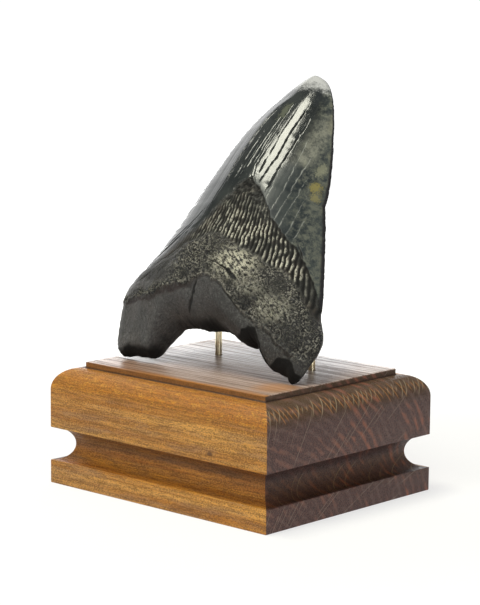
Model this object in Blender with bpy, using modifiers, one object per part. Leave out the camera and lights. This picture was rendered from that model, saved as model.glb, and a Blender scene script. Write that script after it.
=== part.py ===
"""A fossil megalodon tooth standing on its two root lobes on a moulded wooden base.

The tooth leans back on two upright brass pins. Metres, +Z up. The origin is the middle of the
base's underside, and the tooth's lingual (bulging) face looks towards -Y.
"""

import math

import bmesh
import bpy
import numpy as np
from mathutils import Matrix, Vector

MM = 0.001
OBJECT_NAME = "megalodon_tooth_on_stand"
GAP = 0.3 * MM

# Base: one block of wood, routed along all four sides, with a low raised platform.
BASE_WIDTH = 127.0 * MM
BASE_DEPTH = 106.0 * MM
LEDGE_HEIGHT = 51.1 * MM
PLATFORM_RISE = 2.6 * MM
PLATFORM_INSET = 10.9 * MM
PLATFORM_TOP = LEDGE_HEIGHT + PLATFORM_RISE
ROUNDOVER_RADIUS = 9.5 * MM
ROUNDOVER_SEGMENTS = 16
COVE_RADIUS = 7.25 * MM
COVE_HEIGHT = 17.5 * MM
COVE_SET_IN = 0.55 * MM
COVE_SIDES = 64

# Brass pins behind the tooth, upright in blind holes.
PINS = {"pin_left": (-23.7 * MM, 11.6 * MM), "pin_right": (29.2 * MM, 13.6 * MM)}
PIN_RADIUS = 1.5 * MM
PIN_SIDES = 16
PIN_DOME_STEPS = 3
PIN_HOLE_DEPTH = 15.0 * MM

# Tooth: where it stands and how it leans.
TOOTH_LOCATION = (-2.4 * MM, -16.2 * MM, PLATFORM_TOP - 1.95 * MM)
TOOTH_LEAN = math.radians(31.9)
TOOTH_TURN = math.radians(4.7)

# Tooth form, in millimetres in its own frame: x across, w up the tooth, h out of its back.
# Each pair is a place along the curve and the curve's value there.
TIP_HEIGHT = 144.6
LEFT_EDGE = (
    (0.0, -49.0),
    (8.0, -51.6),
    (20.0, -54.0),
    (32.0, -54.8),
    (42.0, -51.8),
    (50.0, -49.4),
    (60.0, -46.0),
    (74.0, -42.4),
    (88.0, -38.2),
    (100.0, -34.2),
    (110.0, -30.1),
    (120.0, -24.7),
    (130.0, -17.4),
    (138.0, -10.0),
)
RIGHT_EDGE = (
    (0.0, 49.5),
    (8.0, 52.6),
    (17.0, 55.2),
    (23.0, 53.9),
    (28.0, 50.9),
    (40.0, 46.5),
    (53.0, 41.4),
    (67.0, 35.8),
    (78.0, 31.4),
    (92.0, 28.4),
    (104.0, 25.0),
    (114.0, 21.5),
    (124.0, 17.8),
    (133.0, 13.6),
    (139.5, 9.2),
)
LOWER_EDGE = (
    (-1.0, 3.0),
    (-0.94, 0.4),
    (-0.8, 0.9),
    (-0.66, 1.2),
    (-0.55, 2.2),
    (-0.49, 8.5),
    (-0.42, 14.6),
    (-0.28, 18.0),
    (-0.1, 17.9),
    (0.05, 18.8),
    (0.14, 17.8),
    (0.24, 15.0),
    (0.36, 12.6),
    (0.51, 12.3),
    (0.57, 8.4),
    (0.68, 4.2),
    (0.8, 2.4),
    (0.88, 2.2),
    (0.96, -0.5),
    (1.0, 1.0),
)
LINGUAL_CREST = (
    (0.0, 15.0),
    (10.0, 16.5),
    (20.0, 21.0),
    (30.0, 26.0),
    (40.0, 28.2),
    (50.0, 27.8),
    (62.0, 25.9),
    (76.0, 23.6),
    (90.0, 20.4),
    (105.0, 16.6),
    (120.0, 12.2),
    (131.0, 8.4),
    (138.0, 5.6),
    (144.6, 3.0),
)
RIM_LEVEL = ((0.0, 5.0), (20.0, 5.5), (40.0, 4.0), (60.0, 2.6), (100.0, 2.2), (144.6, 1.8))
LABIAL_CREST = ((0.0, 0.5), (20.0, -0.5), (45.0, 0.0), (75.0, -1.4), (110.0, -1.2), (144.6, 0.6))
UNDERSIDE_ROUND = 7.0
LABIAL_ROUND = 5.0

# The bourlette is the dark ribbed band between crown and root, here as heights across the tooth.
BOURLETTE_TOP = (
    (-1.0, 33.0),
    (-0.8, 38.0),
    (-0.5, 50.0),
    (-0.25, 64.0),
    (0.0, 77.0),
    (0.17, 83.0),
    (0.3, 80.5),
    (0.58, 63.5),
    (0.79, 53.0),
    (0.92, 43.0),
    (1.0, 33.0),
)
BOURLETTE_FOOT = (
    (-1.0, 28.0),
    (-0.8, 33.0),
    (-0.5, 41.0),
    (-0.2, 49.0),
    (0.05, 54.0),
    (0.3, 50.5),
    (0.55, 47.0),
    (0.79, 42.0),
    (0.93, 33.0),
    (1.0, 28.0),
)
ENAMEL_STEP = 0.6
ROOT_STEP = 0.5
LABIAL_ENAMEL_MIDDLE = 44.0
LABIAL_ENAMEL_SIDES = 30.0
ROOT_LUMP_SIZE = 7.0
ROOT_LUMP_HEIGHT = 0.55
# Hollows in the lingual face: middle x and w, half width and half height, depth.
HOLLOWS = (
    (-7.0, 28.0, 2.2, 9.0, 1.2),
    (34.0, 24.5, 2.2, 3.0, 1.3),
    (2.0, 43.5, 7.0, 2.4, 0.8),
    (-32.0, 31.5, 14.0, 2.6, 0.9),
    (22.0, 22.0, 8.0, 5.0, 1.0),
)
# Chips out of the crown's cutting edges: side, height, half height, depth.
CHIPS = ((1, 82.0, 2.2, 0.5), (1, 72.0, 2.0, -0.3), (1, 30.5, 2.4, 0.3), (-1, 63.0, 4.0, 0.4))

COLUMNS = 38
ROWS = 56


def spline(points, value):
    """A smooth curve through pairs of place and height, read at each place in value."""
    place, height = np.array(points).T
    slope = np.gradient(height, place)
    value = np.clip(value, place[0], place[-1])
    index = np.clip(np.searchsorted(place, value, side="right") - 1, 0, len(place) - 2)
    step = place[index + 1] - place[index]
    t = (value - place[index]) / step
    between = height[index] + t * t * (3 - 2 * t) * (height[index + 1] - height[index])
    return between + step * t * (1 - t) * (slope[index] * (1 - t) - slope[index + 1] * t)


def smoothstep(low, high, value):
    t = np.clip((value - low) / (high - low), 0.0, 1.0)
    return t * t * (3 - 2 * t)


def bell(distance):
    return np.exp(-(distance**2))


def rounded(distance, radius, power):
    """0 at a border, rising to 1 at radius from it along a round profile."""
    inside = 1 - np.clip(distance / radius, 0.0, 1.0)
    return (1 - inside**power) ** (1 / power)


def lumps(x, y, size, seed):
    """Smooth uneven heights from -1 to 1, about one lump to each size."""
    column, row = np.floor(x / size), np.floor(y / size)
    across, up = x / size - column, y / size - row
    across = across * across * (3 - 2 * across)
    up = up * up * (3 - 2 * up)

    def corner(i, j):
        mixed = np.sin((column + i) * 12.9898 + (row + j) * 78.233 + seed * 37.719) * 4375.85
        return 2 * (mixed - np.floor(mixed)) - 1

    low = corner(0, 0) * (1 - across) + corner(1, 0) * across
    high = corner(0, 1) * (1 - across) + corner(1, 1) * across
    return low * (1 - up) + high * up


def edge_position(edge, side, w):
    """How far across a side edge lies at each height: it closes round at the tip."""
    heights, across = np.array(edge).T
    roots = [(math.sqrt(1 - height / TIP_HEIGHT), x) for height, x in zip(heights, across)]
    roots.append((0.0, 0.0))
    roots.sort()
    position = spline(roots, np.sqrt(np.clip(1 - w / TIP_HEIGHT, 0.0, 1.0)))
    for chip_side, height, half_height, depth in CHIPS:
        if chip_side == side:
            position = position - side * depth * bell((w - height) / half_height)
    return position


def lingual_height(x, a, w, lower):
    """The bulging face: round root, ribbed band and lens-shaped crown with sharp edges."""
    level = spline(RIM_LEVEL, w)
    crown = smoothstep(30.0 - 8.0 * np.abs(a), 64.0 - 20.0 * np.abs(a), w)
    profile = np.clip(1 - np.abs(a) ** 2.05, 0.0, 1.0) ** (0.52 + 0.44 * crown)
    rim = rounded(w - lower, UNDERSIDE_ROUND, 2.6)
    inner = np.clip(profile * rim * 3, 0.0, 1.0)
    top, foot = spline(BOURLETTE_TOP, a), spline(BOURLETTE_FOOT, a)
    detail = ENAMEL_STEP * smoothstep(-1.5, 1.0, w - top)
    detail += ROOT_STEP * smoothstep(-1.0, 2.5, foot - w)
    detail += ROOT_LUMP_HEIGHT * lumps(x, w, ROOT_LUMP_SIZE, 3) * smoothstep(0.0, 6.0, foot - w)
    for middle_x, middle_w, half_width, half_height, depth in HOLLOWS:
        away = np.hypot((x - middle_x) / half_width, (w - middle_w) / half_height)
        detail -= depth * bell(away)
    return level + (spline(LINGUAL_CREST, w) - level) * profile * rim + detail * inner


def labial_height(x, a, w, lower):
    """The flatter face at the back, with the enamel ending in an arch above the root lobes."""
    level = spline(RIM_LEVEL, w)
    crown = smoothstep(22.0, 62.0, w)
    profile = np.clip(1 - np.abs(a) ** (4.0 - 1.4 * crown), 0.0, 1.0) ** (0.5 + 0.3 * crown)
    rim = rounded(w - lower, LABIAL_ROUND, 2.0)
    inner = np.clip(profile * rim * 3, 0.0, 1.0)
    border = LABIAL_ENAMEL_MIDDLE + (LABIAL_ENAMEL_SIDES - LABIAL_ENAMEL_MIDDLE) * a * a
    detail = ENAMEL_STEP * smoothstep(-1.0, 1.0, w - border)
    detail += ROOT_LUMP_HEIGHT * lumps(x, w, ROOT_LUMP_SIZE, 8) * smoothstep(0.0, 6.0, border - w)
    return level + (spline(LABIAL_CREST, w) - level) * profile * rim - detail * inner


def tooth_surface(a, v, height):
    """Points of one face, for a across the tooth (-1 to 1) and v up it (0 to 1)."""
    lower = spline(LOWER_EDGE, a)
    w = lower + (TIP_HEIGHT - lower) * v
    left = edge_position(LEFT_EDGE, -1, w)
    right = edge_position(RIGHT_EDGE, 1, w)
    x = (left + right) / 2 + a * (right - left) / 2
    return np.stack([x, -height(x, a, w, lower), w], axis=-1)


def spaced(count):
    """Fractions from 0 to 1, closer together at both ends."""
    even = np.linspace(0.0, 1.0, count + 1)
    return 0.25 * even + 0.75 * (1 - np.cos(math.pi * even)) / 2


def mesh_of(name, bm):
    mesh = bpy.data.meshes.new(name)
    bm.to_mesh(mesh)
    bm.free()
    return mesh


def add_object(name, mesh, collection):
    obj = bpy.data.objects.new(name, mesh)
    collection.objects.link(obj)
    return obj


def add_material(obj, colour, roughness, metallic=0.0):
    material = bpy.data.materials.new(obj.name)
    material.use_nodes = True
    shader = material.node_tree.nodes["Principled BSDF"]
    shader.inputs["Base Color"].default_value = (*colour, 1.0)
    shader.inputs["Roughness"].default_value = roughness
    shader.inputs["Metallic"].default_value = metallic
    obj.data.materials.append(material)


def tooth_placement():
    """The tooth's frame in the world: its own x, back and up, leant back and turned."""
    turn = Matrix.Rotation(TOOTH_TURN, 4, "Z") @ Matrix.Rotation(-TOOTH_LEAN, 4, "X")
    return Matrix.Translation(TOOTH_LOCATION) @ turn


def make_tooth(collection):
    """One closed surface: a lingual and a labial grid that share their border."""
    across, up = np.meshgrid(2 * spaced(COLUMNS) - 1, spaced(ROWS))
    bm = bmesh.new()
    for height, outward in ((lingual_height, 1), (labial_height, -1)):
        points = tooth_surface(across, up, height) * MM
        verts = [[bm.verts.new(point) for point in row] for row in points]
        for low, high in zip(verts, verts[1:]):
            for column in range(COLUMNS):
                ends = slice(column, column + 2)
                bm.faces.new([*low[ends], *reversed(high[ends])][::outward])
    bmesh.ops.remove_doubles(bm, verts=bm.verts, dist=0.001 * MM)
    tooth = add_object("tooth", mesh_of("tooth", bm), collection)
    tooth.matrix_world = tooth_placement()
    tooth.data.shade_smooth()
    add_material(tooth, (0.05, 0.052, 0.048), 0.35)


def pin_top(place):
    """The height of a pin whose domed end stops GAP short of the tooth's back."""
    to_tooth = tooth_placement().inverted()
    centre = Vector((*place, PLATFORM_TOP + 45 * MM))
    for _ in range(12):
        x, back, w = to_tooth @ centre / MM
        left = edge_position(LEFT_EDGE, -1, w)
        right = edge_position(RIGHT_EDGE, 1, w)
        a = (2 * x - left - right) / (right - left)
        surface = -labial_height(x, a, w, spline(LOWER_EDGE, a))
        spare = (back - surface) * MM - PIN_RADIUS - GAP
        centre.z += float(spare) / math.sin(TOOTH_LEAN)
    return centre.z + PIN_RADIUS


def make_pin(name, place, collection):
    """A turned rod with a domed top, standing in its hole."""
    foot = PLATFORM_TOP - PIN_HOLE_DEPTH + GAP
    length = pin_top(place) - foot
    profile = [(0.0, length)]
    for step in range(1, PIN_DOME_STEPS + 1):
        angle = step / PIN_DOME_STEPS * math.pi / 2
        height = length - PIN_RADIUS + PIN_RADIUS * math.cos(angle)
        profile.append((PIN_RADIUS * math.sin(angle), height))
    profile += [(PIN_RADIUS, 0.0), (0.0, 0.0)]
    bm = bmesh.new()
    verts = [bm.verts.new((x, 0.0, z)) for x, z in profile]
    for pair in zip(verts, verts[1:]):
        bm.edges.new(pair)
    pin = add_object(name, mesh_of(name, bm), collection)
    pin.location = (*place, foot)
    screw = pin.modifiers.new("turned", "SCREW")
    screw.steps = screw.render_steps = PIN_SIDES
    screw.use_merge_vertices = True
    screw.merge_threshold = 0.001 * MM
    add_material(pin, (0.72, 0.56, 0.26), 0.25, metallic=1.0)


def add_cutter(name, radius, length, sides, placement, cutters):
    bm = bmesh.new()
    bmesh.ops.create_cone(
        bm, cap_ends=True, segments=sides, radius1=radius, radius2=radius, depth=length
    )
    cutter = add_object(name, mesh_of(name, bm), cutters)
    cutter.matrix_world = placement
    cutter.hide_render = True
    cutter.display_type = "WIRE"


def make_cutters(cutters):
    """A round-nosed groove along each side, and a drilled hole for each pin."""
    for name, turns, half, length in (
        ("front", 0, BASE_DEPTH / 2, BASE_WIDTH),
        ("right", 1, BASE_WIDTH / 2, BASE_DEPTH),
        ("back", 2, BASE_DEPTH / 2, BASE_WIDTH),
        ("left", 3, BASE_WIDTH / 2, BASE_DEPTH),
    ):
        placement = (
            Matrix.Rotation(turns * math.pi / 2, 4, "Z")
            @ Matrix.Translation((0.0, COVE_SET_IN - half, COVE_HEIGHT))
            @ Matrix.Rotation(math.pi / 2, 4, "Y")
        )
        add_cutter(f"cove_{name}", COVE_RADIUS, 1.3 * length, COVE_SIDES, placement, cutters)
    for name, place in PINS.items():
        centre = Matrix.Translation((*place, PLATFORM_TOP))
        add_cutter(
            f"hole_{name}", PIN_RADIUS + GAP, 2 * PIN_HOLE_DEPTH, PIN_SIDES, centre, cutters
        )


def make_base(collection, cutters):
    bm = bmesh.new()
    weights = bm.edges.layers.float.new("bevel_weight_edge")
    bmesh.ops.create_cube(bm, size=1.0)
    bmesh.ops.scale(bm, vec=(BASE_WIDTH, BASE_DEPTH, LEDGE_HEIGHT), verts=bm.verts)
    bmesh.ops.translate(bm, vec=(0.0, 0.0, LEDGE_HEIGHT / 2), verts=bm.verts)
    top = max(bm.faces, key=lambda face: face.calc_center_median().z)
    bmesh.ops.inset_region(bm, faces=[top], thickness=PLATFORM_INSET, use_even_offset=True)
    raised = bmesh.ops.extrude_discrete_faces(bm, faces=[top])["faces"][0]
    bmesh.ops.translate(bm, vec=(0.0, 0.0, PLATFORM_RISE), verts=raised.verts)
    for edge in bm.edges:
        middle = (edge.verts[0].co + edge.verts[1].co) / 2
        at_side = max(abs(middle.x) / BASE_WIDTH, abs(middle.y) / BASE_DEPTH) > 0.499
        lies_flat = abs(edge.verts[0].co.z - edge.verts[1].co.z) < MM
        edge[weights] = float(at_side and lies_flat and middle.z > LEDGE_HEIGHT / 2)
    base = add_object("base", mesh_of("base", bm), collection)
    roundover = base.modifiers.new("roundover", "BEVEL")
    roundover.limit_method = "WEIGHT"
    roundover.width = ROUNDOVER_RADIUS
    roundover.segments = ROUNDOVER_SEGMENTS
    grooves = base.modifiers.new("coves and pin holes", "BOOLEAN")
    grooves.operation = "DIFFERENCE"
    grooves.operand_type = "COLLECTION"
    grooves.collection = cutters
    grooves.solver = "EXACT"
    add_material(base, (0.30, 0.14, 0.06), 0.45)


def main():
    for obj in list(bpy.data.objects):
        bpy.data.objects.remove(obj)
    collection = bpy.data.collections.new(OBJECT_NAME)
    cutters = bpy.data.collections.new("cutters")
    bpy.context.scene.collection.children.link(collection)
    bpy.context.scene.collection.children.link(cutters)
    make_cutters(cutters)
    make_base(collection, cutters)
    for name, place in PINS.items():
        make_pin(name, place, collection)
    make_tooth(collection)


main()
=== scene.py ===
"""Looks of a fossil megalodon tooth resting on a moulded wooden base, against two brass pins.

Metres, +Z up. The tooth is shaped in its own frame in millimetres: x across, w up, h out.
"""

import math
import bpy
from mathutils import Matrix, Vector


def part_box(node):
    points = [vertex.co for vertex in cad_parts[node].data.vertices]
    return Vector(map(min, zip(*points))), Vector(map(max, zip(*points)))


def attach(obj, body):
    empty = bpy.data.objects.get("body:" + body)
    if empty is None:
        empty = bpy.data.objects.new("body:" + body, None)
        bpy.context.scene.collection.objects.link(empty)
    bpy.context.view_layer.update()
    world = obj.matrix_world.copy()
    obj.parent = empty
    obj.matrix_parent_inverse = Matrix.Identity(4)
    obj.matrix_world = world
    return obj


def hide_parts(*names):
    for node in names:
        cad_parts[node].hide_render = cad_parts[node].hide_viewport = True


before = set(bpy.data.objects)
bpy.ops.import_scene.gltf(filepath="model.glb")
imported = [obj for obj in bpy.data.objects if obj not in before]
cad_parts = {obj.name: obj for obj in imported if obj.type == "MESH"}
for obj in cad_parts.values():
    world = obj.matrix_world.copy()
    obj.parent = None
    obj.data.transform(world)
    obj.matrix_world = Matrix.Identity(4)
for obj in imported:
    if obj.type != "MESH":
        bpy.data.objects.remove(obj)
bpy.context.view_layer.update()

from types import SimpleNamespace

import bmesh
import bpy
import numpy as np
from mathutils import Matrix, Vector

MM = 0.001
GAP = 0.3 * MM

# Base, as in the CAD model.
BASE_WIDTH = 127 * MM
BASE_DEPTH = 106 * MM
LEDGE_HEIGHT = 51.1 * MM
PLATFORM_RISE = 2.6 * MM
PLATFORM_INSET = 10.9 * MM
PLATFORM_TOP = LEDGE_HEIGHT + PLATFORM_RISE
ROUNDOVER_RADIUS = 9.5 * MM
ROUNDOVER_STEPS = 20
COVE_RADIUS = 7.25 * MM
COVE_HEIGHT = 17.5 * MM
COVE_SET_IN = 0.55 * MM
COVE_STEPS = 40
EASED_EDGE = 0.35 * MM

# The base's wood, in millimetres. The pith, as y and z, is the same all along the grain.
PITH = (-70, -33)
RAY_COUNT = 26  # in each radian about the pith
FLECK_SPACING = 2.9  # along the top of the end sides
KNOT = (32.3, 28.3)  # x and z on the front
# The golden patch is a painted reflection of the right lobe, which takes the glare off the top
# there.
LOBE_REFLECTION_PLACE = (44, -27)  # x and y of a golden patch

# Pins, as in the CAD model.
PINS = {"pin_left": (-23.7 * MM, 11.6 * MM), "pin_right": (29.2 * MM, 13.6 * MM)}
PIN_RADIUS = 1.5 * MM
PIN_SIDES = 64
PIN_DOME_STEPS = 10
PIN_FOOT_EDGE = 0.2 * MM
PIN_MERGE = 0.001 * MM
PIN_HOLE_DEPTH = 15 * MM
HOLE_SIDES = 64

# Tooth, as in the CAD model, in millimetres apart from its place.
TOOTH_LOCATION = (-2.4 * MM, -16.2 * MM, PLATFORM_TOP - 1.95 * MM)
TOOTH_LEAN = math.radians(31.9)
TOOTH_TURN = math.radians(4.7)
TIP_HEIGHT = 144.6
LEFT_EDGE = (
    (0, -49), (8, -51.6), (20, -54), (32, -54.8), (42, -51.8), (50, -49.4), (60, -46),
    (74, -42.4), (88, -38.2), (100, -34.2), (110, -30.1), (120, -24.7), (130, -17.4), (138, -10),
)
RIGHT_EDGE = (
    (0, 49.5), (8, 52.6), (17, 55.2), (23, 53.9), (28, 50.9), (40, 46.5), (53, 41.4), (67, 35.8),
    (78, 31.4), (92, 28.4), (104, 25), (114, 21.5), (124, 17.8), (133, 13.6), (139.5, 9.2),
)
LOWER_EDGE = (
    (-1, 3), (-0.94, 0.4), (-0.8, 0.9), (-0.66, 1.2), (-0.55, 2.2), (-0.49, 8.5), (-0.42, 14.6),
    (-0.28, 18), (-0.1, 17.9), (0.05, 18.8), (0.14, 17.8), (0.24, 15), (0.36, 12.6), (0.51, 12.3),
    (0.57, 8.4), (0.68, 4.2), (0.8, 2.4), (0.88, 2.2), (0.96, -0.5), (1, 1),
)
LINGUAL_CREST = (
    (0, 15), (10, 16.5), (20, 21), (30, 26), (40, 28.2), (50, 27.8), (62, 25.9), (76, 23.6),
    (90, 20.4), (105, 16.6), (120, 12.2), (131, 8.4), (138, 5.6), (144.6, 3),
)
RIM_LEVEL = ((0, 5), (20, 5.5), (40, 4), (60, 2.6), (100, 2.2), (144.6, 1.8))
LABIAL_CREST = ((0, 0.5), (20, -0.5), (45, 0), (75, -1.4), (110, -1.2), (144.6, 0.6))
LABIAL_ROUND = 5
BOURLETTE_FOOT = (
    (-1, 28), (-0.8, 33), (-0.5, 41), (-0.2, 49), (0.05, 54), (0.3, 50.5), (0.55, 47), (0.79, 42),
    (0.93, 33), (1, 28),
)
ENAMEL_STEP = 0.6
ROOT_STEP = 0.5
LABIAL_ENAMEL_MIDDLE = 44
LABIAL_ENAMEL_SIDES = 30
ROOT_LUMP_SIZE = 7
ROOT_LUMP_HEIGHT = 0.55
# Hollows of the front: x, height, half width, half height and depth.
HOLLOWS = (
    (-7, 28, 2.2, 9, 1.2), (34, 24.5, 2.2, 3, 1.3), (2, 43.5, 7, 2.4, 0.8),
    (-32, 31.5, 14, 2.6, 0.9), (22, 22, 8, 5, 1),
)
# Chips of the side edges: side, height, half height and depth, or how far out if below 0.
CHIPS = ((1, 82, 2.2, 0.5), (1, 72, 2, -0.3), (1, 30.5, 2.4, 0.3), (-1, 63, 4, 0.4))

# Finer shapes that only this model has, in millimetres. Pairs are across (-1 to 1) and a length.
COLUMNS = 300
ROWS = 288
BACK_COLUMN_STEP = 2
BACK_ROW_STEP = 4
MERGE_DISTANCE = 0.0002
TIP_WEAR = 0.35
RIB_COUNT = 27
RIB_HEIGHT = 0.8
# The ribbed band's upper border as the fine ribs show it.
BAND_TOP = (
    (-1, 28), (-0.8, 38), (-0.5, 48.5), (-0.35, 55), (-0.25, 60), (-0.13, 70), (0, 78),
    (0.13, 84), (0.2, 84.5), (0.31, 81.5), (0.42, 76.7), (0.5, 70.5), (0.6, 64.5), (0.7, 60.6),
    (0.79, 57), (0.87, 51), (0.94, 43), (1, 34),
)
# How far from the lower edge the front face starts to curve back.
FRONT_ROUND = (
    (-1, 6), (-0.7, 6), (-0.5, 8), (-0.4, 10), (-0.3, 11), (-0.1, 9), (0.2, 9), (0.33, 7),
    (0.4, 4.5), (0.55, 4.5), (0.66, 7.5), (0.85, 9), (1, 9),
)
# How far above the lower edge the underside is painted near black as shade.
PAINTED_SHADE_UNDERSIDE_HEIGHT = (
    (-1, 1.2), (-0.88, 2.2), (-0.6, 2), (-0.5, 0.5), (-0.3, 0.2), (0, 1.1), (0.3, 0.9),
    (0.4, 3.2), (0.58, 3.8), (0.66, 1), (0.73, 1.8), (0.79, 5.2), (0.86, 6.2), (0.92, 5.8),
    (1, 2),
)
# Dark cracks in the root and on the left shoulder: half width, then height and x.
ROOT_CRACKS = (
    (0.8, ((19, -9.4), (24, -6.2), (30, -3.9), (34, -2.6))),
    (1.2, ((33.5, 16.5), (36.5, 13.4), (38.6, 9.6), (40, 5.5), (41.2, 0.5), (42.4, -6))),
    (1.1, ((22.4, 41.4), (26.6, 39.5))),
    (0.6, ((35, -40.5), (39.5, -38.6), (46.5, -29.4), (54, -21.6), (60, -17.5))),
    (0.35, ((38, -41.5), (43, -38), (50, -28.8), (58, -20.4), (66, -15.2))),
    (0.32, ((31.5, -46), (36.8, -33.2), (42, -24.4), (47, -17.5))),
    (0.42, ((29, -46), (34, -33.4), (38.5, -24.4), (41, -18))),
)
# Tinted patches of the enamel: x, height and both half sizes, then colour and strength.
ENAMEL_PATCHES = (
    ((25, 88, 1.8, 2.6), (0.21, 0.18, 0.06), 0.96),
    ((26.2, 83.6, 1.6, 2), (0.2, 0.18, 0.08), 0.88),
    ((-2, 121.5, 2.2, 5), (0.15, 0.16, 0.11), 0.48),
    ((46.8, 34.7, 1.2, 2.6), (0.34, 0.33, 0.14), 0.6),
    ((23.8, 97, 1.6, 3.5), (0.3, 0.3, 0.2), 0.52),
    ((9.5, 133, 3, 4.5), (0.02, 0.025, 0.03), 0.36),
    ((15.5, 121, 2.2, 5), (0.03, 0.037, 0.04), 0.2),
)
# Pale grainy patches of the root, painted highlight: x, height and both half sizes, then strength.
CREAM_HIGHLIGHT_PATCHES = (
    ((12.5, 42, 9.5, 7), 1),
    ((34, 26.5, 7, 6), 0.45),
    ((22, 33, 6, 4), 0.3),
)
# Names of the fossil's surface attributes: each is 0 to 1, apart from across, which is -1 to 1.
FOSSIL_MASKS = (
    "across", "enamel", "root", "gritty", "broken", "cracked",
    "hairline", "valleys", "crests", "dull", "flaky", "groove",
)
# Height of the line between the smooth root below and the gritty root above.
GRIT_BORDER = (
    (-1, 21), (-0.8, 22.7), (-0.54, 24.3), (-0.23, 28.5), (-0.05, 31.5), (0.12, 33.5),
    (0.24, 30.9), (0.38, 22.9), (0.49, 18.5), (0.57, 17), (0.8, 10), (1, 8),
)
# Dark cracks in the crown: half width, then height and x from the foot up.
CRACKS = (
    (0.22, ((80, 5.4), (88, 6.1), (99, 7.1), (110, 6.6), (127, 7.2))),
    (0.15, ((77, 10), (90, 10.4), (102, 10.5), (119, 10.8))),
    (0.11, ((99, 0), (110, 0), (125, 0.4))),
    (0.15, ((95, 3.6), (108, 3.1), (125, 3.4))),
    (0.2, ((82, 2.2), (89, 0.8), (102, 0.9))),
    (0.2, ((86, 3.4), (96, 3.2))),
    (0.1, ((87, -3.2), (98, -3), (118, -2.2))),
    (0.09, ((80, -6.4), (95, -6.6), (112, -5.6))),
    (0.26, ((42, 40.8), (49, 36.9), (56, 32.6), (61, 29))),
    (0.1, ((68, -12.2), (81, -11.2), (96, -11.4), (107, -10.6), (117, -9.8), (124, -7.8))),
    (0.08, ((78, -10.1), (96, -10.3), (107, -9.5), (117, -8.6), (126, -5.6))),
)
# The crown turns back more steeply left of this line: height and x.
LEFT_CREASE = (
    (60, -13), (72, -12.4), (81, -11.5), (96, -11.7), (107, -10.9), (117, -10.1), (124, -8.1),
    (132, -2.7), (142, 0),
)
CREASE_SLOPE = 0.14
CREASE_REACH = 5
# Hairlines in the crown, in the same form as its cracks: shallow grooves painted pale as their
# reflection.
HAIRLINES = (
    (0.1, ((66, 15.8), (78, 15.6), (90, 15.6), (113, 14.4))),
    (0.12, ((62, 19), (80, 18.4), (104, 18.8))),
    (0.1, ((59, 21.6), (77, 21), (92, 21.2))),
    (0.1, ((55, 25.6), (68, 24.8), (83, 23.5))),
    (0.09, ((52, 29.2), (62, 28.4), (75, 27.2))),
    (0.1, ((74, 12), (86, 11.2), (91, 11.1))),
    (0.1, ((90, -1.4), (104, -1.2), (114, -1))),
    (0.1, ((84, -4.8), (97, -4.6), (108, -4.2))),
)

# Camera of the reference view: 480 x 605 pixels, focal length in pixels.
FRAME_WIDTH = 480
FRAME_HEIGHT = 605
FOCAL_PIXELS = 2182.024
CAMERA_LOCATION = (627.998 * MM, -684.154 * MM, 230.097 * MM)
CAMERA_AZIMUTH = math.radians(42.567)
CAMERA_ELEVATION = math.radians(9.112)
CAMERA_ROLL = math.radians(0.518)
SENSOR_WIDTH_MM = 36

FLOOR_RADIUS = 40
FLOOR_DROP = 0.05 * MM
FLOOR_COLOUR = (0.3, 0.298, 0.293)
# Glow of the floor: near the base, where it is dimmed as painted shadow, the distances in
# millimetres over which it rises to 1, and as a source of light.
FLOOR_GLOW_IN_PAINTED_SHADOW = 0.68
FLOOR_PAINTED_SHADOW_REACH = (110, 500)
FLOOR_GLOW_UNSEEN = 0.5
# The lit wall behind: azimuth and elevation of its middle and the angles from there over which
# it fades, in degrees, then its strength and that of all other directions.
WALL_MIDDLE = (-164, 4)
WALL_REACH = (16, 30)
WALL_LIGHT = 0.55
DIM_LIGHT = 0.25
# Panels: azimuth and elevation in degrees, distance, width and height, brightness and colour.
LIT_POINT = Vector((0, 0, 0.1))
LIGHTS = {
    "overhead": (-29, 77, 0.9, (0.44, 0.26), 21, (1, 0.99, 0.84)),
    "front": (-6, 38, 1.1, (0.2, 0.16), 30, (1, 0.99, 0.93)),
    "fill": (70, 0, 1.2, (0.6, 0.5), 5, (1, 1, 1)),
    "left_back": (-112, 15, 1, (0.65, 0.6), 1.2, (1, 1, 1)),
    "low_back": (-143, 1, 0.55, (0.44, 0.14), 4, (1, 1, 1)),
}


# ---- Shared shape functions ----


def eased(t):
    """0 to 1 along a smooth step."""
    return t * t * (3 - 2 * t)


def spline(points, value):
    """A smooth curve through pairs of place and height, read at each place in value."""
    place, height = np.array(points).T
    slope = np.gradient(height, place)
    value = np.clip(value, place[0], place[-1])
    index = np.clip(np.searchsorted(place, value, side="right") - 1, 0, len(place) - 2)
    step = place[index + 1] - place[index]
    t = (value - place[index]) / step
    between = height[index] + eased(t) * (height[index + 1] - height[index])
    return between + step * t * (1 - t) * (slope[index] * (1 - t) - slope[index + 1] * t)


def ramp(low, high, value):
    """0 at low, rising smoothly to 1 at high."""
    return eased(np.clip((value - low) / (high - low), 0, 1))


def bell(distance):
    return np.exp(-(distance**2))


def rounded(distance, radius, power):
    """0 at a border, rising to 1 at radius from it along a round profile."""
    inside = 1 - np.clip(distance / radius, 0, 1)
    return (1 - inside**power) ** (1 / power)


def lumps(x, y, size, seed):
    """Smooth uneven heights from -1 to 1, about one lump to each size."""
    column, row = np.floor(x / size), np.floor(y / size)
    across, up = eased(x / size - column), eased(y / size - row)

    def corner(i, j):
        mixed = np.sin((column + i) * 12.9898 + (row + j) * 78.233 + seed * 37.719) * 4375.85
        return 2 * (mixed - np.floor(mixed)) - 1

    low = corner(0, 0) * (1 - across) + corner(1, 0) * across
    high = corner(0, 1) * (1 - across) + corner(1, 1) * across
    return low * (1 - up) + high * up


def mesh_from(bm, name):
    mesh = bpy.data.meshes.new(name)
    bm.to_mesh(mesh)
    bm.free()
    return mesh


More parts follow.
